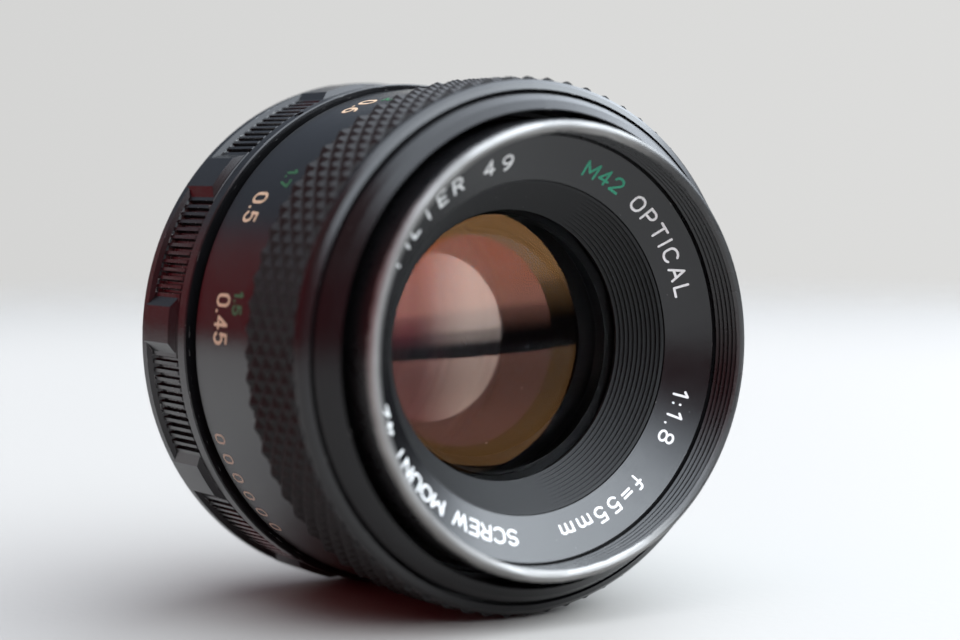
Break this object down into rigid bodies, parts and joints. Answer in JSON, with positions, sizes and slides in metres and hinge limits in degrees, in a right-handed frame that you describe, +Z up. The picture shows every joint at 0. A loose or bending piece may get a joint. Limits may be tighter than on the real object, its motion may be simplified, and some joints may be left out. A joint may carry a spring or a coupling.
{
  "type": "prime camera lens",
  "caption": "Manual-focus standard prime lens with screw mount, focusing helicoid, distance scale, aperture ring and working iris.",
  "frame": {"origin": "centre of the mount's flange face, on the optical axis", "axes": "+Y along the optical axis towards the camera, +Z up with the lens lying on its side as put down on a table, +X to the right seen from the front; the index mark is 108.6 degrees clockwise from +Z seen from the front"},
  "size_m": [0.0615, 0.052, 0.0614],
  "materials": {
    "black_anodised": "satin black anodised aluminium",
    "grip_rubber": "moulded black rubber with diamond knurl",
    "coated_glass": "multi-coated optical glass, amber and pink reflections",
    "steel": "machined steel",
    "black_steel": "blackened spring steel",
    "brass": "machined brass",
    "bare_aluminium": "bare turned aluminium",
    "mount_chrome": "satin chrome"
  },
  "bodies": {
    "fixed_barrel": {"main_barrel": "black_anodised", "index_ring": "black_anodised", "index_ring_screws": "steel", "focus_retaining_ring": "steel", "guide_keys": "brass", "guide_key_screws": "steel", "mechanism_plate": "black_anodised", "mechanism_plate_screws": "steel", "pin_housing": "black_anodised", "pin_spring": "steel", "click_spring": "steel", "mount_plate": "mount_chrome", "mount_screws": "steel", "rear_baffle": "black_anodised"},
    "focus_ring_group": {"focus_ring": "black_anodised", "focus_grip": "grip_rubber", "focus_collar": "black_anodised", "helicoid_sleeve": "brass", "focus_clamp_screws": "steel", "focus_stop_screw": "steel"},
    "front_group": {"filter_ring": "black_anodised", "name_ring": "black_anodised", "front_baffle": "black_anodised", "front_lens_retainer": "black_anodised", "inner_helicoid": "bare_aluminium", "optical_barrel": "black_anodised", "front_cell": "black_anodised", "front_spacer": "black_anodised", "lens_1": "coated_glass", "lens_2": "coated_glass", "lens_3": "coated_glass", "iris_housing": "black_anodised", "iris_retainer": "black_anodised", "rear_cell": "black_anodised", "lens_4": "coated_glass", "lens_5": "coated_glass", "rear_spacer": "black_anodised", "lens_6": "coated_glass", "rear_lens_retainer": "black_anodised"},
    "aperture_ring_group": {"aperture_ring": "black_anodised", "aperture_lever": "brass", "aperture_lever_screws": "steel"},
    "iris_actuator_group": {"iris_actuator": "black_steel", "actuator_pin": "steel"},
    "aperture_pin_body": {"aperture_pin": "brass"},
    "click_ball_body": {"click_ball": "steel"},
    "iris_blade_1_leaf": {"iris_blade_1": "black_steel"},
    "iris_blade_2_leaf": {"iris_blade_2": "black_steel"},
    "iris_blade_3_leaf": {"iris_blade_3": "black_steel"},
    "iris_blade_4_leaf": {"iris_blade_4": "black_steel"},
    "iris_blade_5_leaf": {"iris_blade_5": "black_steel"},
    "iris_blade_6_leaf": {"iris_blade_6": "black_steel"}
  },
  "joints": [
    {"name": "focus_turn", "type": "hinge", "parent": "fixed_barrel", "child": "focus_ring_group", "pos_m": [0, -0.025, 0], "axis": [0, 1, 0], "range_deg": [0, 192]},
    {"name": "focus_extend", "type": "slide", "parent": "fixed_barrel", "child": "front_group", "axis": [0, -1, 0], "range_m": [0, 0.00916]},
    {"name": "aperture_turn", "type": "hinge", "parent": "fixed_barrel", "child": "aperture_ring_group", "pos_m": [0, -0.005, 0], "axis": [0, 1, 0], "range_deg": [0, 50]},
    {"name": "iris_drive", "type": "hinge", "parent": "front_group", "child": "iris_actuator_group", "pos_m": [0, -0.01215, 0], "axis": [0, 1, 0], "range_deg": [0, 50.1]},
    {"name": "aperture_pin_press", "type": "slide", "parent": "fixed_barrel", "child": "aperture_pin_body", "axis": [0, -1, 0], "range_m": [0, 0.0022], "deforming": ["pin_spring"]},
    {"name": "click_ball_travel", "type": "slide", "parent": "fixed_barrel", "child": "click_ball_body", "axis": [0, 0, -1], "range_m": [0, 0.0002], "deforming": ["click_spring"]},
    {"name": "blade_1_swing", "type": "hinge", "parent": "front_group", "child": "iris_blade_1_leaf", "pos_m": [0.0044, -0.0134, 0.01642], "axis": [0, 1, 0], "range_deg": [0, 29.5]},
    {"name": "blade_2_swing", "type": "hinge", "parent": "front_group", "child": "iris_blade_2_leaf", "pos_m": [0.01642, -0.0134, 0.0044], "axis": [0, 1, 0], "range_deg": [0, 29.5]},
    {"name": "blade_3_swing", "type": "hinge", "parent": "front_group", "child": "iris_blade_3_leaf", "pos_m": [0.01202, -0.0134, -0.01202], "axis": [0, 1, 0], "range_deg": [0, 29.5]},
    {"name": "blade_4_swing", "type": "hinge", "parent": "front_group", "child": "iris_blade_4_leaf", "pos_m": [-0.0044, -0.0134, -0.01642], "axis": [0, 1, 0], "range_deg": [0, 29.5]},
    {"name": "blade_5_swing", "type": "hinge", "parent": "front_group", "child": "iris_blade_5_leaf", "pos_m": [-0.01642, -0.0134, -0.0044], "axis": [0, 1, 0], "range_deg": [0, 29.5]},
    {"name": "blade_6_swing", "type": "hinge", "parent": "front_group", "child": "iris_blade_6_leaf", "pos_m": [-0.01202, -0.0134, 0.01202], "axis": [0, 1, 0], "range_deg": [0, 29.5]}
  ],
  "couplings": [
    {"joint": "focus_extend", "follows": "focus_turn", "m_per_rad": 0.0027305},
    {"joint": "iris_drive", "follows": "aperture_turn", "ratio": 1},
    {"joint": "blade_1_swing", "follows": "aperture_turn", "ratio": 0.588},
    {"joint": "blade_2_swing", "follows": "aperture_turn", "ratio": 0.588},
    {"joint": "blade_3_swing", "follows": "aperture_turn", "ratio": 0.588},
    {"joint": "blade_4_swing", "follows": "aperture_turn", "ratio": 0.588},
    {"joint": "blade_5_swing", "follows": "aperture_turn", "ratio": 0.588},
    {"joint": "blade_6_swing", "follows": "aperture_turn", "ratio": 0.588}
  ]
}
